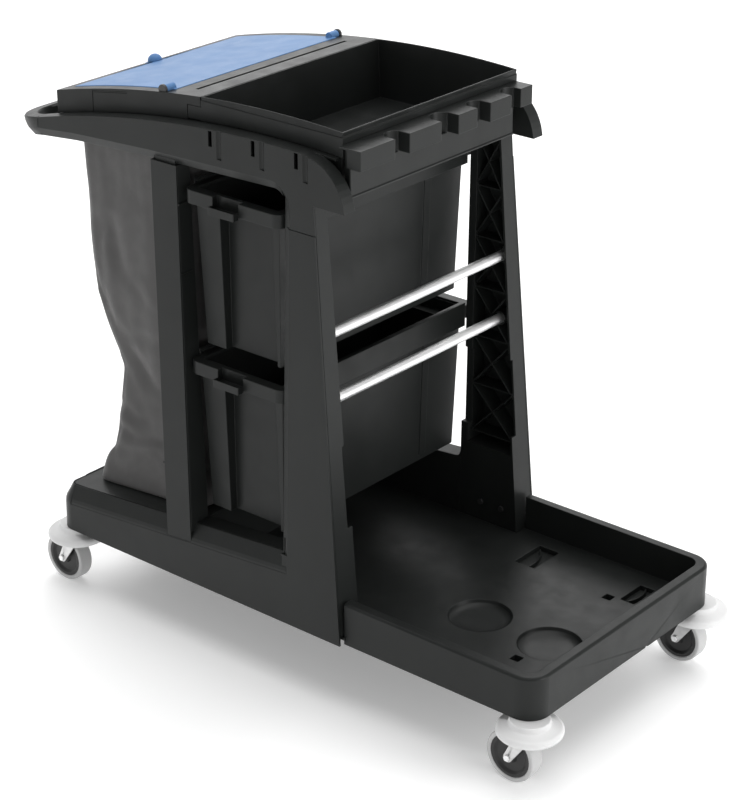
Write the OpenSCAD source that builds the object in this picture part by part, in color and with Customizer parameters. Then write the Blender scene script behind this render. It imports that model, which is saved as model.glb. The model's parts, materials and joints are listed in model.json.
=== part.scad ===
// Housekeeping cart: a bucket platform, two side panels around a pair of two-way drawers,
// a fabric bag under a flip lid, an open top tray, a tool rail and four swivel castors.
// Frame: +X is the platform end, -X is the push handle, -Y is the near side, +Z is up.
// The origin is on the floor, under the middle of the cart. Lengths are in millimetres.

/* [Chassis] */
// Half width of the side panels at their foot
panel_y = 294; // [280:1:310]
// Half width of the bucket platform
plat_y = 282; // [270:1:286]
// Front edge of the platform
plat_x = 612; // [580:1:620]
// Rear edge of the skirt
rear_x = -544; // [-560:1:-530]
// Height of the underside of the chassis
base_z = 134; // [130:1:140]
// Height of the platform rim
rim_z = 218; // [205:1:230]
// Height of the platform floor
floor_z = 150; // [148:1:156]
// Radius of the platform corners
plat_r = 42; // [30:1:50]
// Slope of the rear deck in degrees
deck_tilt = 4.66; // [3:0.1:6]
// Height of the rear deck plane at x = 0
deck_z0 = 268; // [260:1:275]

/* [Side panels] */
// Inward lean of the panels in degrees
panel_lean = 1.2; // [0.5:0.1:2]
// Height of the top of the panels
panel_top = 957.5; // [940:0.5:958]
// Thickness of the panel skin
skin = 4; // [3:0.5:5]

/* [Top] */
// Outer half width of the side rails
rail_y = 276.8; // [270:0.1:280]
// Width of the rails and of the handle bar
rail_w = 28; // [24:1:32]
// Radius of the crown of the top, seen from the side
crown_r = 2266; // [1800:1:3000]
// Place of the highest point of the crown
crown_x = 15; // [0:1:30]
// Height of the rail at its highest point
rail_z = 1040.5; // [1030:0.5:1050]
// Height of the lid frame and tray rim at their highest point
crown_z = 1083; // [1070:1:1095]
// Half width of the lid frame and the top tray
top_y = 240; // [232:1:244]
// Rear edge of the lid frame
hood_x = -536; // [-540:1:-530]
// Seam between the lid frame and the top tray
seam_x = -168; // [-172:1:-160]
// Front of the top tray
tray_x = 158; // [150:1:162]

/* [Drawers] */
// Height of the rim of the upper drawer
drawer_z = 915; // [905:1:920]
// Height between the two drawers
drawer_pitch = 328; // [320:1:335]
// Height of one drawer
drawer_h = 299; // [290:1:305]

/* [Castors] */
// Radius of the tyre
wheel_r = 50; // [48:1:52]
// Width of the tyre
wheel_w = 30; // [26:1:32]
// Trail of the wheel behind the swivel axis
trail = 31; // [25:1:35]
// Radius of the corner bumper
bumper_r = 60; // [56:1:62]
// Distance of the front castors in x
castor_front_x = 590; // [580:1:592]
// Distance of the rear castors in x
castor_rear_x = -525.7; // [-530:0.1:-520]
// Distance of all castors in y
castor_y = 261.5; // [255:0.5:265]

/* [Hidden] */
$fn = 64;

body_col = [0.20, 0.21, 0.21];
gap = 0.3;
fit = 0.06;

// Castor swivel axes: front near, front far, rear near, rear far
castors = [
    [castor_front_x, -castor_y], [castor_front_x, castor_y],
    [castor_rear_x, -castor_y], [castor_rear_x, castor_y]
];
stem_r = 6;
stem_top = 190;
axle_r = 4;
hub_r = 41;

// Skirt: the outer wall, then a band that leans in to a crease at the deck
band_in = 16;
band_h = 38;
corner_r = 35;
corner_x = rear_x + corner_r;
return_run = 26;

// Front leg, seen from the side
leg_front_foot = 189;
leg_front_top = 122;
leg_rear_x = 47;
leg_sill_x = 61;
leg_inner_top = 242.5;
leg_inner_mid = 248.5;
leg_inner_foot = 236;
leg_rib = 17;
leg_top = 951.6;
leg_step_hi = 506;
leg_step_lo = 350;
hollow_z = 312;

// Seam between a leg and the top frame, and the round corner of the window above it
seam_z = 899;
corner_at = [28, 935.5];
round_r = 26;
bevel_w = 16;
bevel_d = 8;

// Well that runs from the platform back under the drawers
well_x = -183;
well_y = 236;
// Depth of the seats that the legs' feet stand in
seat_d = 0.4;

// Rear post, seen from the side
post_foot = [-241, -180];
post_top = [-260, -197];
post_inner = 243;
post_top_z = 953;

rod_r = 9.75;
rod_x = 122;
rod_z = [708, 581];

lid_x0 = -511;
lid_x1 = -251;
lid_y = 217;
lid_t = 4;
grip_x = -521;
hinge_x = -264;
hinge_z = 1069;
barrel_r = 8;
pin_r = 3;
slot_x = -214;

handle_x = -653.6;
handle_r = 102;
handle_tilt = 12;
loop_x = handle_x + handle_r;

drawer_rim_x = [-185, 44];
drawer_rim_y = 274;
drawer_rim_h = 26;
drawer_top_x = [-172, 26];
drawer_top_y = 255;
drawer_foot_x = [-162, 16];
drawer_foot_y = 247;
drawer_wall = 2.5;
recess_x = [-116, 8];
recess_d = 20;
pull_x = [-113, -52];
pull_lip = 13;

// Tool blocks: the near and far end of each, along y
blocks = [[-250, -160], [-122, -36], [11, 64], [101, 162], [201, 236]];
rail_top = 1058;
block_x = 205;
fascia_x = 180;
fascia_z = 970;
fascia_y = [-246, 201];

// Height of the deck plane, and of the two crowned surfaces, at a place in x
function deck(x) = deck_z0 + x * tan(deck_tilt);
function rail_crown(x) = rail_z - pow(x - crown_x, 2) / (2 * crown_r);
function hood_crown(x) = crown_z - pow(x - crown_x, 2) / (2 * crown_r);
function steps(a, b, n) = [for (i = [0:n]) a + (b - a) * i / n];
function leg_rear(z) =
    leg_rear_x + 7 * max(0, z - deck(leg_sill_x)) / (corner_at[1] - deck(leg_sill_x));
function leg_front(z) =
    leg_front_foot + (leg_front_top - leg_front_foot) * (z - base_z) / (panel_top - base_z);

// Rounded rectangle between two corners, made of squares and circles so its arcs stay true
module round_rect(a, b, r) {
    translate([a[0] + r, a[1]]) square([b[0] - a[0] - 2 * r, b[1] - a[1]]);
    translate([a[0], a[1] + r]) square([b[0] - a[0], b[1] - a[1] - 2 * r]);
    for (x = [a[0] + r, b[0] - r], y = [a[1] + r, b[1] - r]) translate([x, y]) circle(r);
}

// Extrudes a side view (x, z) along y, from y0 to y1
module side_view(y0, y1) {
    translate([0, y1, 0]) rotate([90, 0, 0]) linear_extrude(y1 - y0) children();
}

// Side view of everything under a crowned surface, between two places in x
module under_crown(x0, x1, top, down) {
    arc = [for (x = steps(x0, x1, 28)) [x, top - pow(x - crown_x, 2) / (2 * crown_r)]];
    polygon(concat([[x1, down], [x0, down]], arc));
}

// A curved sheet that follows the crown
module crown_sheet(x0, x1, top, t) {
    edge = steps(x0, x1, 28);
    upper = [for (x = edge) [x, top - pow(x - crown_x, 2) / (2 * crown_r)]];
    lower = [for (i = [len(edge) - 1:-1:0]) upper[i] - [0, t]];
    polygon(concat(upper, lower));
}

module both_sides() {
    children();
    mirror([0, 1, 0]) children();
}

// ---- Chassis ----

module platform_shell() {
    difference() {
        translate([0, 0, base_z]) linear_extrude(rim_z - base_z)
            round_rect([110, -plat_y], [plat_x, plat_y], plat_r);
        // bucket space
        translate([0, 0, floor_z]) linear_extrude(100) round_rect([90, -262], [plat_x - 21, 262], 24);
        // hollow between the outer and the inner wall, open below
        translate([0, 0, base_z - 1]) linear_extrude(rim_z - base_z - 3) difference() {
            round_rect([100, -plat_y + 4], [plat_x - 4, plat_y - 4], plat_r - 4);
            round_rect([80, -266], [plat_x - 17, 266], 28);
        }
        // hollow under the floor
        translate([0, 0, base_z - 1]) linear_extrude(floor_z - base_z - 4)
            round_rect([100, -262], [plat_x - 21, 262], 24);
        // finger scallop in the front wall's lower edge
        translate([plat_x - 10, 60, base_z]) rotate([0, 90, 0]) cylinder(r = 3, h = 20);
        // room for the legs' feet
        translate([60, -300, base_z - 1]) cube([leg_front_foot + gap - 60, 600, 100]);
        rim_bevel(4);
    }
}

// Bevel round the top outer edge of the platform's rim
module rim_bevel(b) {
    cut = [[-b, 0], [1, -b - 1], [1, 1], [-b, 1]];
    bend = [plat_x - plat_r, plat_y - plat_r];
    translate([plat_x, bend[1], rim_z]) rotate([90, 0, 0]) linear_extrude(2 * bend[1]) polygon(cut);
    both_sides() {
        translate([bend[0], bend[1], rim_z]) rotate_extrude(angle = 90) translate([plat_r, 0]) polygon(cut);
        translate([100, plat_y, rim_z]) rotate([90, 0, 90]) linear_extrude(bend[0] - 100) polygon(cut);
    }
}

// Shallow round dish that a bucket castor or foot drops into
module dish_cut(x, y) {
    translate([x, y, floor_z]) rotate_extrude()
        polygon([[0, -11.8], [30, -11.6], [44, -10.6], [52, -8.8], [57, -5.5], [59.5, 0.1], [59.5, 3],
                 [0, 3]]);
}

module dish_skin(x, y) {
    translate([x, y, floor_z]) rotate_extrude()
        polygon([[0, -14.6], [46, -13.6], [55, -11.5], [60, -8], [63, -2], [63, -1], [0, -1]]);
}

// Pocket in the floor for the end of a strap, and the solid that closes it below
module strap_pocket(x, y, w, l) {
    translate([x - w / 2, y - l / 2, floor_z - 10]) cube([w, l, 14]);
}

module strap_pocket_skin(x, y, w, l) {
    translate([x - w / 2 - 3, y - l / 2 - 3, floor_z - 13]) cube([w + 6, l + 6, 12]);
}

// Thin curved fin that a strap is wound round, standing in its pocket
module strap_fin(x, y, l, r, turn) {
    half = asin((l / 2 - 4) / r);
    translate([x, y, floor_z - 11]) rotate(turn) translate([-r, 0, 0]) rotate(-half)
        rotate_extrude(angle = 2 * half) translate([r - 1.25, 0]) square([2.5, 10]);
}

// Square socket for the post of an accessory, closed below
module post_socket_skin(x, y) {
    translate([x - 12, y - 12, base_z + 1]) cube([24, 24, floor_z - base_z - 2]);
}

module post_socket(x, y) {
    translate([x - 9, y - 9, base_z + 4]) cube([18, 18, 40]);
}

module floor_ribs() {
    for (x = [260:80:560]) translate([x, -262, base_z + 3]) cube([3, 524, floor_z - base_z - 6]);
    for (y = [-200:80:200]) translate([leg_front_foot + 1, y, base_z + 3])
        cube([plat_x - 22 - leg_front_foot, 3, floor_z - base_z - 6]);
    for (x = [-120:70:20]) translate([x, -well_y, base_z + 3]) cube([3, 2 * well_y, floor_z - base_z - 6]);
}

// Plan of the rear deck: open in front, round the well
module deck_plan(inset, r) {
    front = leg_rear_x - gap - inset / 4;
    difference() {
        union() {
            round_rect([rear_x + 18.2 + inset, -272.8 + inset], [-200, 272.8 - inset], r);
            translate([-260, -272.8 + inset]) square([front + 260, 2 * (272.8 - inset)]);
        }
        translate([well_x - inset, -well_y - inset]) square([400, 2 * (well_y + inset)]);
    }
}

// Everything below the deck plane
module below_deck(down) {
    translate([0, 0, deck_z0 - down]) rotate([0, -deck_tilt, 0])
        translate([-600, -300, -300]) cube([700, 600, 300]);
}

module rear_box() {
    inner_y = panel_y - skin - 3.2;
    // deck, sloping up to the front
    intersection() {
        difference() {
            below_deck(0);
            below_deck(skin);
        }
        linear_extrude(400) deck_plan(0, 17);
    }
    // walls under the deck, round the box and round the well
    intersection() {
        translate([0, 0, base_z + 2]) linear_extrude(200) {
            difference() {
                deck_plan(4, 13);
                deck_plan(7.5, 9.5);
            }
            difference() {
                translate([well_x - 4, -well_y - 4]) square([leg_rear_x - gap - well_x + 4, 2 * well_y + 8]);
                translate([well_x, -well_y]) square([400, 2 * well_y]);
            }
        }
        below_deck(2);
    }
    // cross ribs under the deck
    intersection() {
        for (x = [-430:110:-210]) translate([x, -266, base_z + 4]) cube([3.5, 532, 200]);
        below_deck(2);
    }
    // floor of the well, and the seats that the legs stand in
    translate([well_x - 2, -well_y - 2, floor_z - 5]) cube([leg_front_foot + 8 - well_x, 2 * well_y + 4, 5]);
    translate([leg_rear_x - 2, -inner_y, floor_z - 5])
        cube([leg_front_foot - leg_rear_x + 8, 2 * inner_y, 5]);
}

module foot_seats() {
    both_sides() translate([leg_rear_x - gap, -300, floor_z - seat_d])
        cube([leg_front_foot - leg_rear_x + 2 * gap, 300 - leg_inner_foot + gap, 100]);
}

// Pockets for straps: middle in x and y, width, length
strap_pockets = [[278, 182, 46, 80], [508, 184, 32, 68]];

module base_deck() {
    color(body_col) {
        difference() {
            union() {
                platform_shell();
                rear_box();
                floor_ribs();
                for (x = [330, 487]) dish_skin(x, -64);
                for (p = strap_pockets) strap_pocket_skin(p[0], p[1], p[2], p[3]);
                for (y = [-142, 142]) post_socket_skin(471, y);
                for (c = castors) translate([c[0], c[1], base_z]) cylinder(r = 10, h = stem_top - base_z + 8);
            }
            foot_seats();
            for (x = [330, 487]) dish_cut(x, -64);
            for (p = strap_pockets) strap_pocket(p[0], p[1], p[2], p[3]);
            for (y = [-142, 142]) post_socket(471, y);
            for (c = castors) translate([c[0], c[1], base_z - 1]) cylinder(r = stem_r + fit, h = 61);
        }
        strap_fin(282, 182, 80, 90, 20);
        strap_fin(514, 184, 68, 60, 0);
    }
}

// ---- Side panels ----

// Puts a panel drawn upright at y = 0 into its leaning place
module leaning() {
    translate([0, -panel_y, base_z]) rotate([-panel_lean, 0, 0]) translate([0, 0, -base_z]) children();
}

// Side view of the front leg, from the chassis to the rail
module leg_outline() {
    sill = deck(leg_sill_x) - 2;
    polygon([[leg_sill_x, base_z], [leg_front_foot, base_z], [leg_front(seam_z), seam_z],
             [leg_rear(seam_z), seam_z], [leg_rear_x, sill], [leg_sill_x, sill]]);
}

module leg_core_outline() {
    polygon([[leg_rear_x, floor_z - 5], [leg_front(floor_z), floor_z - 5], [leg_front(leg_top), leg_top],
             [leg_rear(leg_top), leg_top], [leg_rear_x, deck(leg_sill_x)]]);
}

// Bevel along the edge of the window, seen from above: x along the cart, y inward
window_bevel = [[bevel_w + 2, -1], [-4, bevel_d + 2], [-14, bevel_d + 2], [-14, -1]];

module leg_bevel() {
    tilt = atan(7 / (corner_at[1] - deck(leg_sill_x)));
    translate([leg_rear_x, 0, deck(leg_sill_x) + 1]) rotate([0, tilt, 0])
        linear_extrude(700) polygon(window_bevel);
}

// Side view of the hollow in the leg's inner face
module leg_hollow_outline() {
    top = leg_top - 6;
    polygon([[leg_rear_x + leg_rib, hollow_z], [leg_front(hollow_z) - 5, hollow_z], [leg_front(top) - 5, top],
             [leg_rear(top) + leg_rib, top]]);
}

// Space that the leg's core fills, behind its stepped inner face
module leg_envelope() {
    translate([0, -400, leg_step_hi]) cube([300, 400 - leg_inner_top, 500]);
    translate([0, -400, leg_step_lo]) cube([300, 400 - leg_inner_mid, leg_step_hi - leg_step_lo]);
    translate([0, -400, floor_z - seat_d]) cube([300, 400 - leg_inner_foot, leg_step_lo - floor_z + seat_d]);
}

// Crossed ribs in the hollow of the leg
module leg_ribs() {
    bay = 101;
    intersection() {
        leaning() side_view(skin - 1, 60) leg_hollow_outline();
        translate([0, -400, 0]) cube([300, 400 - 247, 1000]);
        side_view(-320, -200) for (i = [0:5]) {
            z = 333 + i * bay;
            rear = leg_rear_x + leg_rib;
            front = leg_front(z + bay / 2) - 5;
            translate([leg_rear_x, z - 1.5]) square([130, 3]);
            strut([rear, z], [front, z + bay], 3);
            strut([rear, z + bay], [front, z], 3);
        }
    }
}

// A straight bar between two points
module strut(a, b, t) {
    run = b - a;
    translate(a) rotate(atan2(run[1], run[0])) translate([0, -t / 2]) square([norm(run), t]);
}

module leg() {
    difference() {
        intersection() {
            leaning() side_view(skin - 0.5, 60) leg_core_outline();
            leg_envelope();
        }
        leaning() side_view(skin, 80) leg_hollow_outline();
        // lower part is closed towards the cart and open below
        translate([leg_rear_x + 4, -panel_y + skin + 3.2, floor_z - 1])
            cube([leg_front(hollow_z) - leg_rear_x - 10, panel_y - leg_inner_foot - skin - 7,
                  hollow_z - floor_z - 5]);
    }
    leg_ribs();
    // sockets for the rods
    for (z = rod_z) translate([rod_x, -276, z]) rotate([-90, 0, 0]) cylinder(r = 14, h = 276 - 253);
    // tenon that stands in the rail
    translate([64, -271.5, leg_top - 7]) cube([50, 17, 40]);
}

// Rounds the rear corner between the leg and the sill
module sill_corner() {
    r = 12;
    at = leg_rear_x / cos(deck_tilt) - r;
    translate([0, 0, deck_z0]) rotate([0, -deck_tilt, 0]) difference() {
        translate([at, -274, 0.1]) cube([r + 1.5, 274 - leg_inner_foot, r]);
        translate([at, -280, r + 0.4]) rotate([-90, 0, 0]) cylinder(r = r, h = 60);
    }
}

// Rear post: a channel, open towards the cart
module post() {
    depth = panel_y - post_inner;
    top = post_top_z;
    difference() {
        intersection() {
            leaning() side_view(skin - 0.5, 80) difference() {
                polygon([[post_foot[0], 236], [post_foot[1], 240], [post_top[1], top], [post_top[0], top]]);
                polygon([[post_foot[0] + 4, 300], [post_foot[1] - 4, 300], [post_top[1] - 4, top - 8],
                         [post_top[0] + 4, top - 8]]);
            }
            translate([-300, -400, 100]) cube([200, 400 - post_inner, 900]);
        }
        // it stands on the deck
        intersection() {
            below_deck(-0.1);
            translate([-320, -274, 100]) cube([200, 60, 300]);
        }
    }
    for (i = [0:4]) translate([post_top[0] + 8, -panel_y + 8 + 2.2 * i, 360 + 130 * i])
        cube([60, depth - 14 - 2.2 * i, 3]);
    translate([post_top[0] + 6, -271.5, top - 8]) cube([50, 17, 40]);
}

// Skirt plate, from the rear corner to the front of the leg
module skirt_outline() {
    polygon([[corner_x, base_z], [leg_sill_x + 1, base_z], [leg_sill_x + 1, deck(leg_sill_x) - band_h + 2],
             [corner_x, deck(corner_x) - band_h + 2]]);
}

// Section of the skirt's upper band, measured from the crease: x is inward, y is up
band_section = [[0, -band_h], [0.6, -31], [2.6, -25], [band_in, 0], [band_in + 1.6, 0],
                [7, -25], [4.6, -31], [skin, -band_h]];

module skirt_band() {
    run = (leg_sill_x - corner_x) / cos(deck_tilt);
    translate([corner_x, 0, deck(corner_x)]) rotate([0, -deck_tilt, 0])
        translate([-2, 0, 0]) rotate([90, 0, 90]) linear_extrude(run + 12) polygon(band_section);
}

module skirt_corner() {
    h = deck(corner_x) - base_z;
    wall = concat([[corner_r, 0]], [for (p = band_section) [corner_r - p[0], h + p[1]]],
                  [[corner_r - skin, 0]]);
    translate([corner_x, corner_r, base_z]) rotate(180) rotate_extrude(angle = 90) polygon(wall);
    // short return along the rear
    translate([corner_x, corner_r - 0.5, base_z]) rotate([90, 0, 180])
        linear_extrude(return_run + 0.5) polygon(wall);
}

module side_panel() {
    leaning() {
        side_view(0, skin) skirt_outline();
        side_view(0, skin) leg_outline();
        side_view(0, skin) polygon([[post_foot[0], 215], [post_foot[1], 220],
                                    [post_top[1], post_top_z], [post_top[0], post_top_z]]);
        skirt_band();
        skirt_corner();
    }
    leg();
    sill_corner();
    post();
}

module side_panel_near() {
    color(body_col) difference() {
        side_panel();
        panel_cuts();
    }
}

module side_panel_far() {
    color(body_col) mirror([0, 1, 0]) difference() {
        side_panel();
        panel_cuts();
    }
}

// Bevel of the window, sockets for the rods and holes for the bolts
module panel_cuts() {
    leaning() leg_bevel();
    for (z = rod_z) translate([rod_x, -272, z]) rotate([-90, 0, 0]) cylinder(r = rod_r + 0.1, h = 60);
    for (p = bolt_places) translate([p[0], -280, p[1]]) rotate([-90, 0, 0]) cylinder(r = 3.1, h = 60);
    for (x = frame_bolt_x) translate([x, -280, frame_bolt_z]) rotate([-90, 0, 0]) cylinder(r = 3.1, h = 30);
    // the top frame's wall covers the leg above the seam
    translate([30, -300, seam_z - 0.2]) cube([120, 300 - rail_y + skin + gap, 80]);
    // nothing hangs below the chassis
    translate([-700, -400, base_z - 20]) cube([1400, 400, 20]);
}

// Bolts through the feet of the legs into the chassis: x and z
bolt_places = [[100, 190], [150, 190]];

// Bolts through the inner walls of the rails into the tenons
frame_bolt_x = [89, post_top[0] + 31];
frame_bolt_z = 971.5;

// Cover between the rear ends of the two panels, flush with their corners
module rear_skirt() {
    h = deck(corner_x) - base_z;
    wall = concat([[0, 0]], [for (p = band_section) [p[0], h + p[1]]], [[skin, 0]]);
    color(body_col) difference() {
        translate([rear_x, 260, base_z]) rotate([90, 0, 0]) linear_extrude(520) polygon(wall);
        both_sides() leaning() translate([-600, -60, 0]) cube([200, 60 + corner_r + return_run + gap, 400]);
    }
}

module panel_bolts() {
    color("dimgray") both_sides() for (p = bolt_places) translate([p[0], -leg_inner_foot, p[1]]) {
        rotate([-90, 0, 0]) cylinder(r = 6, h = 4);
        rotate([90, 0, 0]) cylinder(r = 3, h = 10);
    }
}

// ---- Top ----

rail_lower = [[loop_x, 933.8], [-455, 943], [-268, 953], [corner_at[0], corner_at[1] + round_r]];
rail_under = [for (i = [3:-1:0]) rail_lower[i]];

// Side view of a rail, from the handle to the curved fin
module rail_outline() {
    top = [for (x = steps(loop_x, 92, 26)) [x, rail_crown(x)]];
    fin = [for (a = [4:7:81]) [100 + 92 * sin(a), 944 + 92 * cos(a)]];
    foot = [[192, leg_top + gap], [leg_rear_x - gap, leg_top + gap], [leg_rear_x - gap, 962]];
    polygon(concat(top, fin, foot, rail_under));
}

// The space inside a rail, above its thick lower edge and open below the fin
module rail_hollow() {
    top = [for (x = steps(loop_x + 4, 92, 26)) [x, rail_crown(x) - 4]];
    fin = [for (a = [4:7:81]) [100 + 88 * sin(a), 944 + 88 * cos(a)]];
    foot = [[186, 900], [48, 900], [48, 976], [-268, 967], [-455, 957], [loop_x + 4, 950]];
    polygon(concat(top, fin, foot));
}

// Slot along the underside of a rail, up into its hollow
module rail_slot() {
    polygon([[loop_x + 4, 900], [47, 900], [47, 978], [-268, 970], [-455, 960], [loop_x + 4, 953]]);
}

// Side view of the outer wall's round corner over the window, down to the seam on the leg
module corner_outline(x1) {
    c = corner_at;
    difference() {
        intersection() {
            polygon([c, [c[0] + round_r, c[1]], [c[0] + round_r, seam_z], [leg_front(seam_z), seam_z],
                     [leg_front(leg_top), leg_top + 2], [60, 964], [c[0], c[1] + round_r + 0.2]]);
            translate([c[0], seam_z]) square([x1 - c[0], 100]);
        }
        translate(c) circle(round_r);
    }
}

// Lines that the bevel follows, each a point and a slope: along a rail's lower edge, then round the
// window's corner and down to the seam
bevel_lines = concat(
    [for (i = [0:2]) let (run = rail_lower[i + 1] - rail_lower[i]) [rail_lower[i], atan2(run[1], run[0])]],
    [for (a = [82.5:-7.5:0]) [corner_at + round_r * [cos(a), sin(a)], a - 90]]
);

// Bevel along a rail's lower outer edge: what lies inside all of its planes
module rail_bevel() {
    intersection() {
        translate([loop_x - 8, -rail_y - 5, seam_z - 1])
            cube([corner_at[0] + round_r + bevel_w + 10 - loop_x, 40, 120]);
        intersection_for(line = bevel_lines) translate([line[0][0], -rail_y, line[0][1]])
            rotate([0, -line[1], 0]) translate([-700, 0, 0]) rotate([90, 0, 90])
                linear_extrude(1400) polygon([[-2, bevel_w + 4], [-2, -700], [358, -700]]);
    }
}

// A slot through the wall, and a shallow round groove beside it
module clip_pair(x) {
    top = rail_crown(x);
    translate([x, -rail_y - 1, top - 30]) cube([8.5, 6, 28]);
    translate([x + 24.5, -rail_y - 4, top - 50]) cylinder(r = 7, h = 60);
}

module side_rail() {
    difference() {
        union() {
            difference() {
                union() {
                    side_view(-rail_y, -rail_y + rail_w) rail_outline();
                    side_view(-rail_y, -rail_y + 12) corner_outline(leg_rear_x - gap);
                    side_view(-rail_y, -rail_y + skin) corner_outline(200);
                }
                side_view(-rail_y + 4, -rail_y + rail_w - 4) rail_hollow();
                side_view(-rail_y + 12, -rail_y + rail_w - 4) rail_slot();
                rail_bevel();
            }
            // ledges that the lid frame and the tray stand on
            side_view(-rail_y + rail_w - 1, -226) crown_sheet(-520, seam_x, rail_z - 2, 4);
            side_view(-rail_y + rail_w - 1, -238) crown_sheet(seam_x - 1, 150, rail_z - 2, 4);
            // web behind the fin
            translate([126, -266, leg_top + gap]) cube([62, 4, 14]);
        }
        for (x = [-116, -16, 82]) clip_pair(x);
        for (x = frame_bolt_x) translate([x, -rail_y + rail_w - 8, frame_bolt_z]) rotate([-90, 0, 0])
            cylinder(r = 3.1, h = 12);
        // rooms for the tenons of the panels
        translate([63.5, -272.2, 940]) cube([51, 18.4, 46]);
        translate([post_top[0] + 5.5, -272.2, 940]) cube([51, 18.4, 50]);
    }
}

// Section of the handle: x is outward from the loop's inner side, y is up
handle_section = [[0, -26], [2, -31], [6, -35.5], [20, -35.5], [rail_w, -19.8], [rail_w, -2.5],
                  [rail_w - 2.5, 0], [3.5, 0], [0, -4]];

module push_handle() {
    bar = 2 * (rail_y - handle_r);
    inner = handle_r - rail_w;
    translate([loop_x, 0, rail_crown(loop_x)]) rotate([0, -handle_tilt, 0]) difference() {
        union() {
            both_sides() translate([0, -rail_y + handle_r, 0]) rotate(180)
                rotate_extrude(angle = 90) polygon([for (p = handle_section) [p[0] + inner, p[1]]]);
            translate([0, bar / 2, 0]) rotate([90, 0, 0]) linear_extrude(bar)
                polygon([for (p = handle_section) [-p[0] - inner, p[1]]]);
            both_sides() translate([-0.5, -rail_y + handle_r, 0]) rotate([90, 0, 90])
                linear_extrude(14) polygon([for (p = handle_section) [-p[0] - inner, p[1]]]);
        }
        // the corners are drawn out to a nose
        both_sides() translate([0, -rail_y + handle_r, 0]) rotate(220) side_view(-90, 90)
            polygon([[handle_r + 2, -1.5], [handle_r + 40, -1.5], [handle_r + 40, -60], [handle_r - 37, -60]]);
    }
}

module top_frame() {
    color(body_col) {
        both_sides() side_rail();
        push_handle();
    }
}

module frame_bolts() {
    color("dimgray") both_sides() for (x = frame_bolt_x) translate([x, 0, frame_bolt_z]) {
        translate([0, -rail_y + rail_w, 0]) rotate([-90, 0, 0]) cylinder(r = 5.5, h = 3.5);
        translate([0, -rail_y + 8, 0]) rotate([-90, 0, 0]) cylinder(r = 3, h = rail_w - 7.5);
    }
}

// Side view of the lid frame, with the stepped lap over the tray
module hood_outline() {
    difference() {
        under_crown(hood_x, seam_x - gap, crown_z, 900);
        under_crown(hood_x - 10, seam_x + 20, rail_z - 1.7, 800);
        polygon([[-200, 900], [-150, 900], [-150, 1058], [-200, 1056]]);
    }
}

module lid_frame() {
    color(body_col) difference() {
        side_view(-top_y, top_y) hood_outline();
        // room inside, under the top sheet
        side_view(-top_y + 3.5, top_y - 3.5) difference() {
            under_crown(hood_x + 4, -206 - 40, crown_z - 8, 890);
        }
        side_view(-top_y + 3.5, top_y - 3.5) difference() {
            under_crown(-242, -204, crown_z - 8, 890);
        }
        // mouth of the bag, with a rebate that the lid lies in
        translate([lid_x0 + 10, -lid_y + 10, 900]) cube([lid_x1 + 0.6 - lid_x0 - 10, 2 * lid_y - 20, 300]);
        side_view(-lid_y - 0.6, lid_y + 0.6) crown_sheet(lid_x0 - 0.6, lid_x1 + 0.6, crown_z + 6, 9.2);
        // slot in the divider
        translate([slot_x - 3.5, -200, 1050]) cube([7, 400, 60]);
        // seats for the barrels and discs of the hinge
        for (s = [0, 1]) mirror([0, s, 0]) {
            translate([hinge_x, -top_y + 3, hinge_z]) rotate([-90, 0, 0]) cylinder(r = 9.5, h = 8.3);
            translate([hinge_x, -231.2, hinge_z]) rotate([-90, 0, 0]) cylinder(r = barrel_r + 1.5, h = 25);
            translate([hinge_x - 9.5, -231.2, hinge_z]) cube([19, 25, 30]);
            // sweep of the lid's front edge as it opens
            translate([hinge_x, -lid_y - 0.6, hinge_z]) rotate([-90, 0, 0]) cylinder(r = 14.4, h = 12);
        }
        // shallow outline of the clip in each side wall
        both_sides() {
            translate([-440.5, -top_y - 1, 993]) cube([2.5, 2, 39.2]);
            side_view(-top_y - 1, -top_y + 1)
                polygon([[-440.5, 1031], [-440.5, 1033.5], [-350, 1048.5], [-350, 1046]]);
        }
        // notch in the rear edge for the tab of the lid
        side_view(-16, 16) crown_sheet(hood_x - 1, lid_x0 + 1, crown_z + 6, 9.2);
    }
}

module hinge_pins() {
    color([0.12, 0.12, 0.12]) both_sides() translate([hinge_x, -top_y + 3.2, hinge_z]) rotate([-90, 0, 0]) {
        cylinder(r = 9.3, h = 5.3);
        cylinder(r = pin_r, h = 26);
    }
}

module lid_panel() {
    color([0.55, 0.68, 0.85]) difference() {
        union() {
            side_view(-lid_y, lid_y) crown_sheet(lid_x0, lid_x1, crown_z + 1, lid_t);
            both_sides() {
                translate([hinge_x, -230.7, hinge_z]) rotate([-90, 0, 0]) cylinder(r = barrel_r, h = 22);
                translate([hinge_x - 6, -lid_y - 2, hinge_z - 6]) cube([12, 11, 6]);
            }
            // tab that carries the grip
            side_view(-15, 15) crown_sheet(hood_x + 2, lid_x0 + 2, crown_z + 1, lid_t);
        }
        both_sides() translate([hinge_x, -235, hinge_z]) rotate([-90, 0, 0])
            cylinder(r = pin_r + fit, h = 25);
    }
}

module lid_grip() {
    slope = atan((crown_x - grip_x) / crown_r);
    color([0.50, 0.64, 0.85]) translate([grip_x, 0, hood_crown(grip_x) + 1.1]) rotate([0, -slope, 0])
        intersection() {
            translate([0, 0, -1]) sphere(r = 14.5);
            translate([-20, -20, 0]) cube([40, 40, 20]);
        }
}

module tub(x0, x1, y, z, t) {
    hull() {
        translate([x0 - t, -y - t, crown_z]) cube([x1 - x0 + 2 * t, 2 * (y + t), 1]);
        translate([x0 + 12 - t, -y + 10 - t, z]) cube([x1 - x0 - 24 + 2 * t, 2 * (y + t) - 20, 1]);
    }
}

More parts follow.
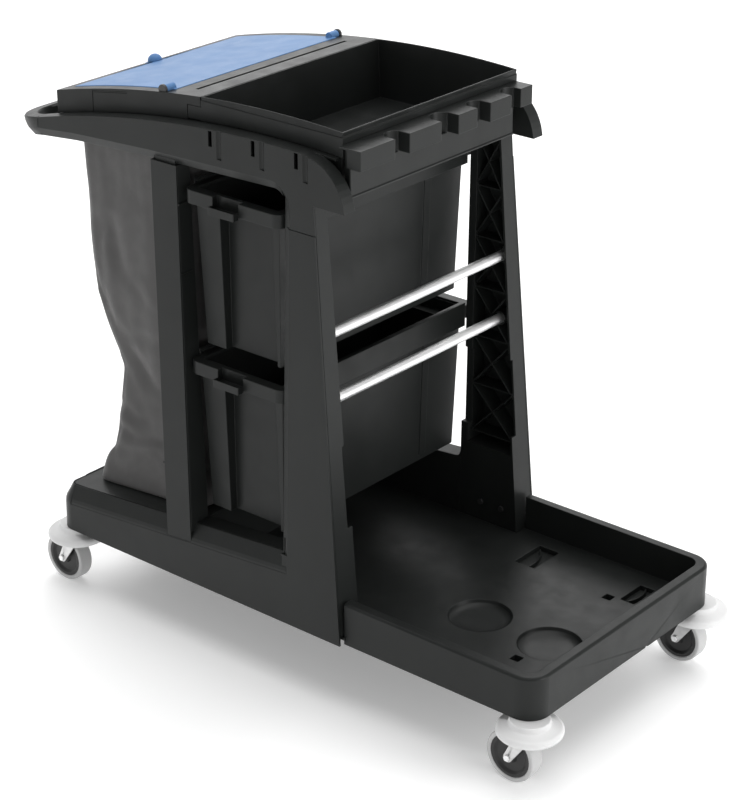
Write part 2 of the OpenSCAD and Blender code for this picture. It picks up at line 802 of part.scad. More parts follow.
module top_tray() {
    floor_top = 968;
    color(body_col) difference() {
        union() {
            intersection() {
                tub(seam_x + 3, tray_x - 3, top_y - 3, floor_top - 3, 3);
                side_view(-top_y, top_y) under_crown(seam_x, tray_x, crown_z, 900);
            }
            // lower band outside the walls, which stands on the rails
            intersection() {
                translate([seam_x, -top_y, 1020]) cube([tray_x - seam_x, 2 * top_y, 50]);
                side_view(-top_y, top_y) difference() {
                    under_crown(seam_x, tray_x, crown_z - 3, 900);
                    under_crown(seam_x - 1, tray_x + 1, rail_z - 1.7, 800);
                }
            }
            // lap under the lid frame
            side_view(-top_y, top_y) polygon([[-198.5, 1031.5], [seam_x + 1, 1033.5], [seam_x + 1, 1057],
                                              [-198.5, 1055.5]]);
        }
        tub(seam_x + 3, tray_x - 3, top_y - 3, floor_top, 0);
        translate([-203, -top_y + 3, 1000]) cube([32, 2 * top_y - 6, 100]);
    }
}

// How far each tool block reaches out, and the round seats between them: middle and radius
function block_end(b) = b[0] > 200 ? 196 : block_x;
tool_seats = [for (i = [0:3]) [(blocks[i][1] + blocks[i + 1][0]) / 2, (blocks[i + 1][0] - blocks[i][1]) / 2]];

module tool_rail() {
    x0 = tray_x + gap;
    run = fascia_y[1] - fascia_y[0];
    color(body_col) difference() {
        union() {
            translate([x0, -250, rail_top - 4]) cube([fascia_x - x0, 486, 4]);
            translate([fascia_x - 4, fascia_y[0], fascia_z]) cube([4, run, rail_top - fascia_z]);
            // floor, with a lip along the fascia's lower edge
            translate([x0, fascia_y[0], fascia_z]) cube([fascia_x + 1.2 - x0, run, 4]);
            translate([x0, -236, rail_top - 30]) cube([3, 437, 30]);
            for (y = [-236, -100, 0, 100, 198]) translate([x0, y, fascia_z])
                cube([fascia_x - x0, 3, rail_top - fascia_z]);
            for (b = blocks) translate([fascia_x - 6, b[0], rail_top - 35])
                cube([block_end(b) - fascia_x + 6, b[1] - b[0], 35]);
            // closed back of each seat
            intersection() {
                for (s = tool_seats) translate([fascia_x + 8, s[0], rail_top - 39])
                    cylinder(r = s[1] + 3, h = 39);
                translate([x0, -236, 900]) cube([fascia_x - x0 - 1, 472, 200]);
            }
            // small ribs under the far end of each block
            for (i = [0:3]) translate([fascia_x - 1, blocks[i][1] - 4, rail_top - 47]) cube([3, 1.5, 13]);
        }
        // each block is hollow below
        for (b = blocks) translate([fascia_x, b[0] + 4, rail_top - 40])
            cube([block_end(b) - fascia_x - 4, b[1] - b[0] - 8, 35]);
        for (s = tool_seats) translate([fascia_x + 8, s[0], rail_top - 36]) cylinder(r = s[1], h = 40);
    }
}

// ---- Rods, runners, drawers ----

module rod(i) {
    color("silver") translate([rod_x, -269, rod_z[i]]) rotate([-90, 0, 0]) cylinder(r = rod_r, h = 538);
}

module rod_upper() { rod(0); }

module rod_lower() { rod(1); }

// A runner rail: a channel that the turned-down rim slides in
module runner(x_web, x_lip, z) {
    x0 = min(x_web, x_lip);
    w = abs(x_web - x_lip);
    foot = z - drawer_rim_h - gap;
    translate([x0, -242, foot - 4]) cube([w, 484, 4]);
    translate([x_web - (x_web > x_lip ? 3 : 0), -242, foot - 12]) cube([3, 484, drawer_rim_h + 22]);
    translate([x_web > x_lip ? x_web - 9 : x_web, -242, z + 5]) cube([9, 484, 3]);
}

module runners(z) {
    color(body_col) {
        runner(-189, -176, z);
        runner(48.5, 31, z);
    }
}

module runners_upper() { runners(drawer_z); }

module runners_lower() { runners(drawer_z - drawer_pitch); }

module drawer_solid(z, t) {
    hull() {
        translate([drawer_top_x[0] + t, -drawer_top_y + t, z - 4])
            cube([drawer_top_x[1] - drawer_top_x[0] - 2 * t, 2 * (drawer_top_y - t), 8]);
        translate([drawer_foot_x[0] + t, -drawer_foot_y + t, z - drawer_h + t])
            cube([drawer_foot_x[1] - drawer_foot_x[0] - 2 * t, 2 * (drawer_foot_y - t), 1]);
    }
}

// The channel down the middle of each end of a drawer
module end_recess(z, t) {
    for (s = [-1, 1])
        translate([recess_x[0] - t, s > 0 ? drawer_top_y - recess_d - 4 - t : -drawer_top_y - 20,
                   z - drawer_h - 10])
            cube([recess_x[1] - recess_x[0] + 2 * t, recess_d + 24 + t, drawer_h - 20 + t]);
}

// Shallow rib that follows the slope of a long side of a drawer
module side_rib(top, foot, out) {
    polygon([[top - out * 1.8, -12], [top + out * 2.4, -12], [foot + out * 2.6, 12 - drawer_h],
             [foot - out * 1.2, 12 - drawer_h]]);
}

module drawer(z) {
    color(body_col) difference() {
        union() {
            difference() {
                intersection() {
                    drawer_solid(z, 0);
                    translate([-400, -400, z - drawer_h]) cube([800, 800, drawer_h - 2]);
                }
                difference() {
                    drawer_solid(z, drawer_wall);
                    end_recess(z, drawer_wall);
                }
                end_recess(z, 0);
                drawer_mouth(z - 5);
            }
            drawer_rim(z);
            // back and floor of each finger scoop
            both_sides() translate([pull_x[0] - 2.5, -drawer_rim_y + 0.5, z - drawer_rim_h])
                cube([pull_x[1] - pull_x[0] + 5, 14, drawer_rim_h - 1]);
            for (y = [-160, 142]) side_view(y, y + 18) translate([0, z]) {
                side_rib(drawer_top_x[1], drawer_foot_x[1], 1);
                side_rib(drawer_top_x[0], drawer_foot_x[0], -1);
            }
        }
        // finger scoop behind each pull
        both_sides() translate([pull_x[0], -drawer_rim_y - 1, z - drawer_rim_h + 2.5])
            cube([pull_x[1] - pull_x[0], 12.5, drawer_rim_h]);
    }
}

module drawer_mouth(z) {
    translate([drawer_top_x[0] + drawer_wall, -drawer_top_y + drawer_wall, z])
        cube([drawer_top_x[1] - drawer_top_x[0] - 2 * drawer_wall, 2 * (drawer_top_y - drawer_wall), 60]);
}

// Rim, turned down all round
module drawer_rim(z) {
    difference() {
        translate([0, 0, z - drawer_rim_h]) difference() {
            linear_extrude(drawer_rim_h)
                round_rect([drawer_rim_x[0], -drawer_rim_y], [drawer_rim_x[1], drawer_rim_y], 18);
            translate([0, 0, -1]) linear_extrude(drawer_rim_h - 2) difference() {
                round_rect([drawer_rim_x[0] + 3, -drawer_rim_y + 3],
                           [drawer_rim_x[1] - 3, drawer_rim_y - 3], 15);
                translate([drawer_top_x[0], -drawer_top_y])
                    square([drawer_top_x[1] - drawer_top_x[0], 2 * drawer_top_y]);
            }
        }
        drawer_mouth(z - drawer_rim_h - 2);
    }
}

// Lip in front of each finger scoop
module pulls(z) {
    w = pull_x[1] - pull_x[0];
    color(body_col) both_sides() difference() {
        translate([pull_x[0], -drawer_rim_y - pull_lip, z - 30]) cube([w, pull_lip, 14.5]);
        translate([pull_x[0] + 2.5, -drawer_rim_y - pull_lip + 2.5, z - 27]) cube([w - 5, pull_lip, 20]);
    }
}

module drawer_upper() { drawer(drawer_z); }

module drawer_lower() { drawer(drawer_z - drawer_pitch); }

module drawer_upper_pulls() { pulls(drawer_z); }

module drawer_lower_pulls() { pulls(drawer_z - drawer_pitch); }

// ---- Bag ----

bag_x = [-497, -206];
bag_y = 234;
bag_mouth = 955;

// Levels of the bag: height, and how far its rear corners are drawn in
bag_levels = [[480, 46], [700, 4], [bag_mouth, 0]];

module bag_slab(level, t) {
    translate([0, 0, level[0]]) linear_extrude(1)
        round_rect([bag_x[0] + level[1] + t, -bag_y + level[1] * 0.5 + t],
                   [bag_x[1] - t, bag_y - level[1] * 0.5 - t], 22 - t, $fn = 32);
}

// The foot of the bag lies along the sloping deck
module bag_foot(t, up) {
    translate([0, 0, deck_z0 + gap + up]) rotate([0, -deck_tilt, 0]) linear_extrude(1)
        round_rect([bag_x[0] + t, -bag_y + t], [bag_x[1] - t, bag_y - t], 22 - t, $fn = 32);
}

module bag_body(t, up) {
    hull() {
        bag_foot(t, up);
        bag_slab(bag_levels[0], t);
    }
    for (i = [0:1]) hull() {
        bag_slab(bag_levels[i], t);
        bag_slab([bag_levels[i + 1][0] + i * up, bag_levels[i + 1][1]], t);
    }
}

module bag() {
    color([0.31, 0.31, 0.31]) difference() {
        bag_body(0, 0);
        bag_body(3, 3);
    }
}

module ring_corner(x, y, turn) {
    translate([x, y, 0]) rotate(turn) rotate_extrude(angle = 90) translate([20, 0]) circle(4, $fn = 32);
}

module bag_ring() {
    x0 = bag_x[0] + 6;
    x1 = bag_x[1] - 6;
    y = bag_y - 6;
    color("silver") translate([0, 0, bag_mouth + 6]) {
        ring_corner(x0 + 20, -y + 20, 180);
        ring_corner(x1 - 20, -y + 20, 270);
        ring_corner(x1 - 20, y - 20, 0);
        ring_corner(x0 + 20, y - 20, 90);
        for (s = [-1, 1]) translate([x0 + 20, s * y, 0]) rotate([0, 90, 0])
            cylinder(r = 4, h = x1 - x0 - 40, $fn = 32);
        for (x = [x0, x1]) translate([x, -y + 20, 0]) rotate([-90, 0, 0])
            cylinder(r = 4, h = 2 * y - 40, $fn = 32);
        // hooks up to the ledges of the rails
        for (x = [-420, -320], s = [-1, 1]) translate([x, s * y, 0])
            cylinder(r = 3, h = rail_crown(x) - 6.8 - bag_mouth - 6, $fn = 32);
    }
}

// ---- Castors ----

module bumper(i) {
    profile = [[0, 104], [0, base_z - gap], [36, base_z - gap], [38, 124], [48, 121], [56, 119],
               [59.4, 115.5], [bumper_r, 112], [59.4, 108], [57, 104.6], [52, 104], [50, 113.5], [0, 113.5]];
    color([0.88, 0.88, 0.88]) translate([castors[i][0], castors[i][1], 0]) difference() {
        rotate_extrude() polygon([for (j = [1:len(profile) - 1]) profile[j]]);
        cylinder(r = stem_r + fit, h = 200);
    }
}

// Fork with its swivel race and stem; the wheel trails behind the swivel axis
module fork(i) {
    cheek = wheel_w / 2 + 2.4;
    color([0.78, 0.78, 0.80]) translate([castors[i][0], castors[i][1], 0]) difference() {
        union() {
            cylinder(r = stem_r, h = stem_top);
            translate([0, 0, 104]) cylinder(r = 26, h = 8.6);
            translate([0, 0, 101]) cylinder(r = 23, h = 4);
            for (s = [-1, 1]) translate([0, s * (cheek + 1.5) - 1.5, 0]) side_view(0, 3)
                fork_cheek();
            translate([-16, -cheek, 100.6]) cube([34, 2 * cheek, 3]);
        }
        // nothing of the stem hangs below the crown
        translate([0, 0, -1]) cylinder(r = 8, h = 101.6);
        translate([-trail, -40, wheel_r]) rotate([-90, 0, 0]) cylinder(r = axle_r, h = 80);
    }
}

// Side view of a fork cheek: wide under the race, rounded round the axle
module fork_cheek() {
    translate([-trail, wheel_r]) circle(9);
    polygon([[-trail - 9, wheel_r + 1], [-16, 103.6], [18, 103.6], [-trail + 8, wheel_r - 4],
             [-trail, wheel_r - 6]]);
}

module axle(i) {
    cheek = wheel_w / 2 + 5.4;
    color("gainsboro") translate([castors[i][0] - trail, castors[i][1], wheel_r]) rotate([-90, 0, 0]) {
        translate([0, 0, -cheek - 2]) cylinder(r = axle_r, h = 2 * cheek + 4);
        translate([0, 0, -cheek - 4]) cylinder(r = 6.5, h = 4, $fn = 6);
        translate([0, 0, cheek]) cylinder(r = 6.5, h = 4, $fn = 6);
    }
}

module hub(i) {
    color([0.06, 0.06, 0.06]) translate([castors[i][0] - trail, castors[i][1], wheel_r]) rotate([-90, 0, 0])
        difference() {
            rotate_extrude()
                polygon([[0, -15.5], [11, -15.5], [14, -10], [30, -9], [35, -13.5], [hub_r, -13.5],
                         [hub_r, 13.5], [35, 13.5], [30, 9], [14, 10], [11, 15.5], [0, 15.5]]);
            translate([0, 0, -30]) cylinder(r = axle_r + fit, h = 60);
        }
}

module tyre(i) {
    h = wheel_w / 2;
    color([0.72, 0.73, 0.74]) translate([castors[i][0] - trail, castors[i][1], wheel_r]) rotate([-90, 0, 0])
        rotate_extrude() polygon([[hub_r, -h + 1.5], [hub_r + 1.5, -h], [47.5, -h], [49.2, -h + 1.2],
                                  [wheel_r, -h + 4], [wheel_r, h - 4], [49.2, h - 1.2], [47.5, h],
                                  [hub_r + 1.5, h], [hub_r, h - 1.5]]);
}

base_deck();
side_panel_near();
side_panel_far();
rear_skirt();
top_frame();
lid_frame();
top_tray();
tool_rail();
rod_upper();
rod_lower();
runners_upper();
runners_lower();
bag();
bag_ring();
panel_bolts();
frame_bolts();
hinge_pins();
lid_panel();
lid_grip();
drawer_upper();
drawer_upper_pulls();
drawer_lower();
drawer_lower_pulls();
bumper(0);  // bumper_1
bumper(1);  // bumper_2
bumper(2);  // bumper_3
bumper(3);  // bumper_4
fork(0);  // fork_1
fork(1);  // fork_2
fork(2);  // fork_3
fork(3);  // fork_4
axle(0);  // axle_1
axle(1);  // axle_2
axle(2);  // axle_3
axle(3);  // axle_4
hub(0);  // hub_1
hub(1);  // hub_2
hub(2);  // hub_3
hub(3);  // hub_4
tyre(0);  // tyre_1
tyre(1);  // tyre_2
tyre(2);  // tyre_3
tyre(3);  // tyre_4
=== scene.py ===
"""A housekeeping cart: camera, studio, materials and the cloth bag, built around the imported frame."""

import json
import math

import bmesh
import bpy
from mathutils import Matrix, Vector, noise


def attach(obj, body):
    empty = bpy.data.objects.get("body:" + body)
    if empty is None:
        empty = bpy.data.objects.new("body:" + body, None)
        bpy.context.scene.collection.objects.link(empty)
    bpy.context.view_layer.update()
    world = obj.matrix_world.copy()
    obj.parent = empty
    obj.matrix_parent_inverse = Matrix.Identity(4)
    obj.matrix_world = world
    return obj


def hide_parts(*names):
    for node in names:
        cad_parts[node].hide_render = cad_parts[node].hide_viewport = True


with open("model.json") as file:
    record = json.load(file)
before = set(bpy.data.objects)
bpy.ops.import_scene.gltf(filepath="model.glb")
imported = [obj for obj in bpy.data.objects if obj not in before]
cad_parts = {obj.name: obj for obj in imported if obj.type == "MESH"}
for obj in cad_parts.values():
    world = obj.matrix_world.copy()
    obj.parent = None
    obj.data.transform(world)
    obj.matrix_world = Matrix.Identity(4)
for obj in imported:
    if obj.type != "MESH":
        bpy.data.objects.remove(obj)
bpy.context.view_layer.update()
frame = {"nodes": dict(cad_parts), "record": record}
nodes = frame["nodes"]


# ---- Camera and studio ----

AZIMUTH, ELEVATION = math.radians(39.96), math.radians(24.74)
AIM = Vector((0.0096, 0.0264, 0.4564))
DISTANCE = 4.3
LENS = 102.9


def make_camera():
    back = Vector((
        math.sin(AZIMUTH) * math.cos(ELEVATION),
        -math.cos(AZIMUTH) * math.cos(ELEVATION),
        math.sin(ELEVATION),
    ))
    data = bpy.data.cameras.new("camera")
    data.lens, data.sensor_width = LENS, 36
    camera = bpy.data.objects.new("camera", data)
    camera.location = AIM + back * DISTANCE
    camera.rotation_euler = (-back).to_track_quat("-Z", "Y").to_euler()
    bpy.context.scene.collection.objects.link(camera)
    bpy.context.scene.camera = camera


def aim_light(light, place, target):
    light.location = place
    light.rotation_euler = (Vector(target) - Vector(place)).to_track_quat("-Z", "Y").to_euler()
    bpy.context.scene.collection.objects.link(light)


def softbox(name, place, target, size, watts):
    data = bpy.data.lights.new(name, "AREA")
    data.shape, data.size, data.size_y = "RECTANGLE", size[0], size[1]
    data.energy = watts
    aim_light(bpy.data.objects.new(name, data), place, target)


def make_studio():
    """An even soft light from above over white paper, with softboxes behind and to the right."""
    world = bpy.data.worlds.new("studio")
    world.use_nodes = True
    tree = world.node_tree
    tree.nodes["Background"].inputs["Color"].default_value = (1, 1, 1, 1)

    # White at the horizon, dimmer overhead, where the lights take over
    way = tree.nodes.new("ShaderNodeTexCoord").outputs["Generated"]
    split = tree.nodes.new("ShaderNodeSeparateXYZ")
    ramp = tree.nodes.new("ShaderNodeMapRange")
    for socket, v in zip(("From Min", "From Max", "To Min", "To Max"), (0.14, 0.32, 1.02, 0.40)):
        ramp.inputs[socket].default_value = v
    tree.links.new(way, split.inputs[0])
    tree.links.new(split.outputs["Z"], ramp.inputs["Value"])
    tree.links.new(ramp.outputs["Result"], tree.nodes["Background"].inputs["Strength"])
    bpy.context.scene.world = world
    bpy.context.scene.view_settings.view_transform = "Standard"

    top = bpy.data.lights.new("overhead", "SUN")
    top.energy, top.angle = 2.2, math.radians(70)
    aim_light(bpy.data.objects.new("overhead", top), (-0.5, 0.6, 3), (0, 0, 0))
    softbox("behind", (-2.6, 3.0, 2.6), (0, 0, 0.8), (3.0, 1.6), 32)
    softbox("right", (3.4, 0.6, 1.3), (0, 0, 0.5), (1.6, 2.2), 44)

    bpy.ops.mesh.primitive_plane_add(size=60)
    floor = bpy.context.object
    floor.name = "studio_floor"
    paper = Shader("studio_paper", Roughness=1.0, Specular_IOR_Level=0.0, Emission_Strength=0.22)
    paper.bsdf.inputs["Emission Color"].default_value = (1, 1, 1, 1)
    paper.bsdf.inputs["Base Color"].default_value = (0.92, 0.92, 0.92, 1)
    floor.data.materials.append(paper.mat)


# ---- Materials ----

class Shader:
    """One material, with short ways to add nodes to it and link them."""

    def __init__(self, name, **sockets):
        self.mat = bpy.data.materials.new(name)
        self.mat.use_nodes = True
        self.tree = self.mat.node_tree
        self.bsdf = self.tree.nodes["Principled BSDF"]
        for socket, value in sockets.items():
            self.bsdf.inputs[socket.replace("_", " ")].default_value = value
        self.place = self.add("ShaderNodeTexCoord").outputs["Object"]

    def add(self, kind, **inputs):
        node = self.tree.nodes.new(kind)
        for socket, value in inputs.items():
            self.feed(node.inputs[socket.replace("_", " ")], value)
        return node

    def feed(self, socket, value):
        if isinstance(value, bpy.types.NodeSocket):
            self.tree.links.new(value, socket)
        else:
            socket.default_value = value

    def noise(self, scale, detail=3, rough=0.5, vector=None):
        node = self.add("ShaderNodeTexNoise", Vector=vector or self.place, Scale=scale, Detail=detail, Roughness=rough)
        return node.outputs["Fac"]

    def stretched(self, scale):
        return self.add("ShaderNodeMapping", Vector=self.place, Scale=scale).outputs["Vector"]

    def between(self, value, low, high, a, b):
        """value from low..high, turned into a..b and held inside it."""
        node = self.add("ShaderNodeMapRange")
        for socket, v in zip(("Value", "From Min", "From Max", "To Min", "To Max"), (value, low, high, a, b)):
            self.feed(node.inputs[socket], v)
        return node.outputs["Result"]

    def math(self, operation, a, b):
        node = self.tree.nodes.new("ShaderNodeMath")
        node.operation = operation
        self.feed(node.inputs[0], a)
        self.feed(node.inputs[1], b)
        return node.outputs["Value"]

    def mix(self, factor, a, b):
        node = self.tree.nodes.new("ShaderNodeMix")
        node.data_type = "RGBA"
        for socket, v in ((0, factor), (6, a), (7, b)):
            self.feed(node.inputs[socket], v)
        return node.outputs[2]

    def base(self, value):
        self.feed(self.bsdf.inputs["Base Color"], value)

    def roughness(self, value):
        self.feed(self.bsdf.inputs["Roughness"], value)

    def bump(self, height, strength, distance):
        """Adds one more layer of bump on top of those made before."""
        node = self.add("ShaderNodeBump", Height=height, Strength=strength, Distance=distance)
        normal = self.bsdf.inputs["Normal"]
        if normal.links:
            self.tree.links.new(normal.links[0].from_socket, node.inputs["Normal"])
        self.tree.links.new(node.outputs["Normal"], normal)


def grey(value, tint=(1, 1, 1)):
    return tuple(value * t for t in tint) + (1,)


def moulded(name, dark, light, rough, grain=0.25, specular=0.4):
    """Injection-moulded plastic: spark-eroded grain, faint flow marks and a little uneven gloss."""
    s = Shader(name, Specular_IOR_Level=specular)
    flow = s.noise(9, 4, 0.55, s.stretched((1, 1, 0.35)))
    fine = s.noise(900, 2)
    pores = s.noise(2600, 1)
    s.base(s.mix(s.between(flow, 0.35, 0.65, 0, 1), dark, light))
    s.roughness(s.between(s.noise(26, 3), 0.3, 0.7, rough - 0.05, rough + 0.06))
    s.bump(fine, grain, 0.0004)
    s.bump(pores, grain * 0.8, 0.0002)
    return s.mat


def brushed(name, dark, light, rough, stretch):
    """Bright drawn or plated steel with fine lines along one axis."""
    s = Shader(name, Metallic=1.0)
    lines = s.noise(700, 3, 0.6, s.stretched(stretch))
    cloud = s.noise(30, 3)
    s.base(s.mix(s.between(cloud, 0.3, 0.7, 0, 1), dark, light))
    s.roughness(s.between(lines, 0.3, 0.7, rough - 0.07, rough + 0.1))
    s.bump(lines, 0.15, 0.0002)
    return s.mat


def bag_cloth(name):
    """Coated woven nylon: a fine square weave, a slightly waxy sheen and dusty creases."""
    s = Shader(name, Specular_IOR_Level=0.35, Sheen_Weight=0.25, Sheen_Roughness=0.4)
    uv = s.add("ShaderNodeTexCoord").outputs["UV"]
    warp = s.add("ShaderNodeTexWave", Vector=uv, Scale=420)
    weft = s.add("ShaderNodeTexWave", Vector=uv, Scale=420)
    weft.bands_direction = "Y"
    weave = s.math("ADD", warp.outputs["Fac"], weft.outputs["Fac"])
    cloud = s.noise(7, 4, 0.6)
    s.base(s.mix(s.between(cloud, 0.3, 0.7, 0, 1), grey(0.054, (1.02, 0.99, 0.98)), grey(0.072, (1.02, 0.99, 0.98))))
    s.roughness(s.between(s.noise(40, 3), 0.3, 0.7, 0.52, 0.64))
    s.bump(s.noise(60, 4, 0.6), 0.25, 0.002)
    s.bump(weave, 0.25, 0.0003)
    return s.mat


def make_looks():
    """The material for each slot that the record names."""
    return {
        "body_plastic": moulded("charcoal_plastic", grey(0.0135, (0.95, 1.04, 1.0)), grey(0.0165, (0.95, 1.04, 1.0)), 0.36, specular=0.20),
        "lid_plastic": moulded("blue_plastic", (0.100, 0.222, 0.450, 1), (0.112, 0.240, 0.475, 1), 0.38, specular=0.2),
        "bag_fabric": bag_cloth("bag_cloth"),
        "bright_steel": brushed("bright_steel", grey(0.86), grey(0.95), 0.46, (1, 0.03, 1)),
        "zinc_fork": brushed("zinc_plate", grey(0.52), grey(0.72), 0.36, (1, 1, 0.2)),
        "bumper_plastic": moulded("bumper_plastic", grey(0.66), grey(0.72), 0.42),
        "wheel_core": moulded("wheel_core", grey(0.016), grey(0.022), 0.40),
        "tyre_rubber": moulded("tyre_rubber", grey(0.46), grey(0.54), 0.62, grain=0.5),
        "bolt_steel": moulded("black_bolt", grey(0.02), grey(0.03), 0.35),
        "hinge_blue": moulded("hinge_disc", grey(0.03), grey(0.045), 0.4),
    }


# ---- CAD nodes ----

EDGE_WIDTH = {"body_plastic": 0.0013, "lid_plastic": 0.0012, "bumper_plastic": 0.0015}

# Nodes whose fine corners only take a small rounding, on their sharper edges
FINE_CORNERS = ("side_panel_near", "side_panel_far", "top_frame", "lid_frame")


def finish_cad(looks):
    """Gives every CAD node its material and softly rounded edges."""
    for part in frame["record"]["subparts"]:
        obj, slot = nodes[part["node"]], part["material_slot"]
        for m in obj.material_slots:
            m.material = looks[slot]
        weld = obj.modifiers.new("weld", "WELD")
        weld.merge_threshold = 0.00001
        bevel = obj.modifiers.new("edges", "BEVEL")
        fine = part["node"] in FINE_CORNERS
        bevel.width = 0.0006 if fine else EDGE_WIDTH.get(slot, 0.0006)
        bevel.segments = 2
        bevel.limit_method = "ANGLE"
        bevel.angle_limit = math.radians(60 if fine else 30)
        bevel.use_clamp_overlap = False
        obj.modifiers.new("shading", "WEIGHTED_NORMAL").keep_sharp = True


# ---- Bag ----

AROUND, DOWN = 160, 72
BAG_FRONT, BAG_SIDE, BAG_CORNER, BAG_MOUTH = -0.2072, 0.2330, 0.0245, 0.957

# The rear wall from the mouth down, height and x: the empty cloth folds in half way
BAG_REAR = [
    (0.957, -0.4955), (0.711, -0.493), (0.652, -0.490), (0.573, -0.467), (0.485, -0.439),
    (0.415, -0.445), (0.352, -0.459), (0.286, -0.483), (0.254, -0.493), (0.226, -0.4965),
]

# Folds on the sides: points along each in x and z, its depth and half its width
BAG_FOLDS = [
    ([(-0.466, 0.718), (-0.456, 0.751), (-0.427, 0.784), (-0.421, 0.749), (-0.406, 0.703), (-0.344, 0.639)], 0.008, 0.026),
    ([(-0.489, 0.672), (-0.460, 0.619), (-0.446, 0.586), (-0.429, 0.566)], 0.008, 0.024),
    ([(-0.430, 0.551), (-0.375, 0.562), (-0.322, 0.563), (-0.270, 0.550)], 0.007, 0.022),
    ([(-0.424, 0.551), (-0.392, 0.514), (-0.354, 0.473), (-0.315, 0.458)], 0.010, 0.028),
    ([(-0.445, 0.447), (-0.440, 0.406), (-0.400, 0.386), (-0.340, 0.386)], 0.007, 0.022),
    ([(-0.457, 0.358), (-0.403, 0.347), (-0.307, 0.368)], 0.006, 0.020),
    ([(-0.476, 0.299), (-0.444, 0.265), (-0.409, 0.255)], 0.006, 0.018),
]

# Crossed creases all over: direction, how many in a metre, depth
BAG_CREASES = [
    ((0.55, 0.30, 0.78), 6.1, 0.0068), ((-0.62, 0.22, 0.75), 7.3, 0.0060),
    ((0.20, -0.70, 0.68), 8.9, 0.0044), ((-0.10, 0.85, 0.52), 13.0, 0.0020),
]


def bag_rear_x(z):
    z = min(max(z, BAG_REAR[-1][0]), BAG_REAR[0][0])
    for (z1, x1), (z0, x0) in zip(BAG_REAR, BAG_REAR[1:]):
        if z >= z0:
            return x0 + (x1 - x0) * (z - z0) / (z1 - z0)


def bag_ring(x0, x1, half, r):
    """Points evenly round a rectangle with round corners, from the middle of its rear, each with its outward direction."""
    corners = [(x0 + r, -half + r, 180), (x1 - r, -half + r, 270), (x1 - r, half - r, 0), (x0 + r, half - r, 90)]
    path = [((x0, 0), (-1, 0))]
    for cx, cy, start in corners:
        for k in range(7):
            a = math.radians(start + 15 * k)
            out = (math.cos(a), math.sin(a))
            path.append(((cx + r * out[0], cy + r * out[1]), out))
    path.append(path[0])
    lengths = [math.dist(a[0], b[0]) for a, b in zip(path, path[1:])]
    points, walked, k = [], 0, 0
    for i in range(AROUND):
        d = sum(lengths) * i / AROUND
        while d > walked + lengths[k]:
            walked += lengths[k]
            k += 1
        t = (d - walked) / lengths[k]
        (p, m), (q, n) = path[k], path[k + 1]
        points.append((
            Vector((p[0] + (q[0] - p[0]) * t, p[1] + (q[1] - p[1]) * t, 0)),
            Vector((m[0] + (n[0] - m[0]) * t, m[1] + (n[1] - m[1]) * t, 0)).normalized(),
        ))
    return points


def fold_depth(x, z):
    """How far the folds draw the side in at a point."""
    total = 0
    for chain, depth, width in BAG_FOLDS:
        nearest, along = 9, 0
        for k, (a, b) in enumerate(zip(chain, chain[1:])):
            step = (b[0] - a[0], b[1] - a[1])
            t = ((x - a[0]) * step[0] + (z - a[1]) * step[1]) / (step[0] ** 2 + step[1] ** 2)
            t = min(max(t, 0), 1)
            d = math.dist((x, z), (a[0] + step[0] * t, a[1] + step[1] * t))
            if d < nearest:
                nearest, along = d, (k + t) / (len(chain) - 1)
        total += depth * max(0, 1 - nearest / width) * math.sin(math.pi * (0.1 + 0.8 * along))
    return total


def crease_depth(p):
    """Flat facets between crossed creases, as in coated cloth that has been folded up."""
    bent = p + 0.035 * noise.noise_vector(p * 4.0)
    total = 0
    for k, (direction, count, depth) in enumerate(BAG_CREASES):
        v = bent.dot(Vector(direction)) * count
        here = 0.5 + 0.5 * noise.noise(p * 5.0 + Vector((7.0 * k, 0, 3.0)))
        total += depth * here * 2 * abs(v - math.floor(v + 0.5))
    return total


def bag_row(ring, inset, level):
    return [p - out * inset + Vector((0, 0, level)) for p, out in ring]


def bag_surface():
    """Rows of points: the hem inside the ring, over its wire, down the walls, and the floor."""
    mouth = bag_ring(BAG_REAR[0][1], BAG_FRONT, BAG_SIDE, BAG_CORNER)
    rows = [bag_row(mouth, 0.0102, 0.936), bag_row(mouth, 0.0102, 0.950)]
    for a in (180, 140, 90, 40):
        rows.append(bag_row(
            mouth, 0.0051 - 0.0051 * math.cos(math.radians(a)), 0.961 + 0.0051 * math.sin(math.radians(a)),
        ))
    tilt = math.tan(math.radians(4.66))
    for j in range(DOWN + 1):
        t = j / DOWN
        level = BAG_MOUTH + (0.236 - BAG_MOUTH) * t
        rear = bag_rear_x(level)
        drawn = max(rear - BAG_REAR[0][1], 0)
        fade = min(1, t * 6) * min(1, (1 - t) * 9)
        seam = 0.0012 if j == DOWN - 2 else 0
        row = []
        for p, out in bag_ring(rear, BAG_FRONT, BAG_SIDE - 0.30 * drawn, BAG_CORNER):
            foot = 0.2695 + p.x * tilt
            p.z = BAG_MOUTH + (foot - BAG_MOUTH) * t
            inward = crease_depth(p)
            if abs(out.y) > 0.7:
                inward += fold_depth(p.x, p.z if p.y < 0 else p.z + 0.03)
            elif out.x < 0:
                inward *= 0.45
            row.append(p - out * (inward * fade + seam))
        rows.append(row)
    last = rows[-1]
    centre = sum(last, Vector()) / AROUND
    for t in (0.08, 0.2, 0.4, 0.6, 0.8, 0.94):
        rows.append([p.lerp(Vector((centre.x, p.y * 0.75, 0.2695 + centre.x * tilt)), t) for p in last])
    return rows


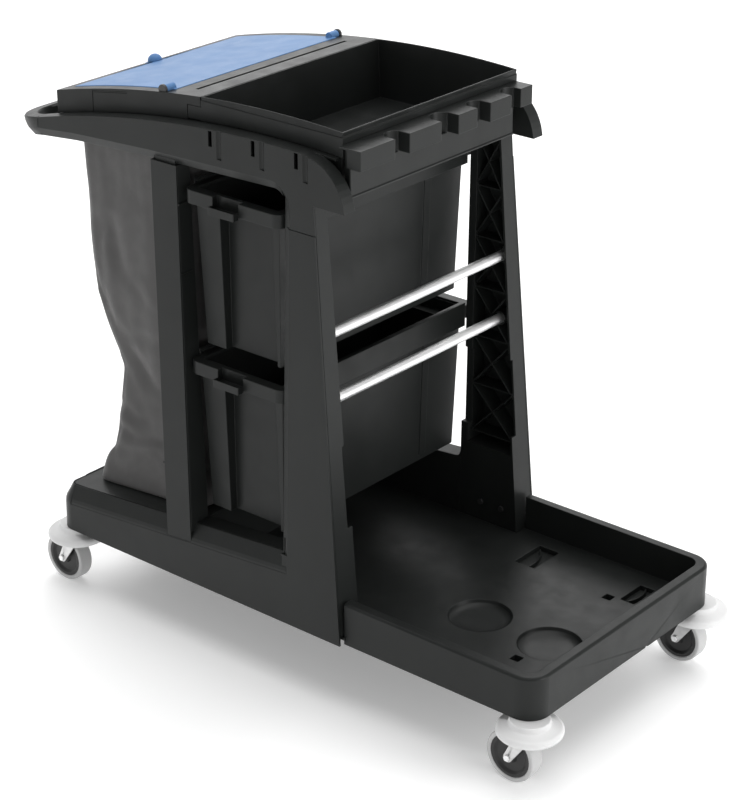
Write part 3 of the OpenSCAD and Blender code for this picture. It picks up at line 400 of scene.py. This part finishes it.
def relax(bag, rows):
    """Lets the walls hang and buckle a little, and keeps a share of that, up to 9 mm."""
    hold = bag.vertex_groups.new(name="hold")
    for j in range(rows):
        if j < 7 or j > rows - 9:
            weight = 1.0
        else:
            weight = 0.12 + 0.5 * max(0, 1 - (rows - 9 - j) / 6)
        hold.add(range(j * AROUND, (j + 1) * AROUND), weight, "REPLACE")
    cloth = bag.modifiers.new("cloth", "CLOTH")
    c = cloth.settings
    c.quality, c.mass, c.air_damping = 6, 0.25, 2
    c.tension_stiffness = c.compression_stiffness = 20
    c.shear_stiffness, c.bending_stiffness = 8, 0.6
    c.vertex_group_mass, c.pin_stiffness = "hold", 1.0
    c.shrink_min = c.shrink_max = -0.03
    cloth.collision_settings.use_collision = False
    cloth.collision_settings.use_self_collision = False
    cloth.point_cache.frame_start, cloth.point_cache.frame_end = 1, 20
    for step in range(1, 21):
        bpy.context.scene.frame_set(step)
    hung = bpy.data.meshes.new_from_object(bag.evaluated_get(bpy.context.evaluated_depsgraph_get()))
    for before, after in zip(bag.data.vertices, hung.vertices):
        move = (after.co - before.co) * 0.28
        if move.length > 0.009:
            move *= 0.009 / move.length
        before.co += move
    bag.modifiers.remove(cloth)
    bpy.context.scene.frame_set(1)


def make_bag(looks):
    rows = bag_surface()
    faces = []
    for j in range(len(rows) - 1):
        for i in range(AROUND):
            k = (i + 1) % AROUND
            faces.append((j * AROUND + i, j * AROUND + k, (j + 1) * AROUND + k, (j + 1) * AROUND + i))
    mesh = bpy.data.meshes.new("waste_bag")
    mesh.from_pydata([p for row in rows for p in row], [], faces)
    bag = bpy.data.objects.new("waste_bag", mesh)
    bpy.context.scene.collection.objects.link(bag)

    # Cloth coordinates in metres, round and down the bag
    uv = mesh.uv_layers.new(name="cloth").data
    for f in mesh.polygons:
        j, i = divmod(f.index, AROUND)
        for loop, (a, b) in zip(f.loop_indices, ((i, j), (i + 1, j), (i + 1, j + 1), (i, j + 1))):
            uv[loop].uv = (a * 1.46 / AROUND, b * 0.010)
        f.use_smooth = True
    relax(bag, len(rows))
    smooth = bag.modifiers.new("round", "SUBSURF")
    smooth.levels = smooth.render_levels = 1
    mesh.materials.append(looks["bag_fabric"])
    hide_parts("bag")
    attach(bag, "cart")


# ---- Build ----

make_camera()
looks = make_looks()
make_studio()
finish_cad(looks)
make_bag(looks)
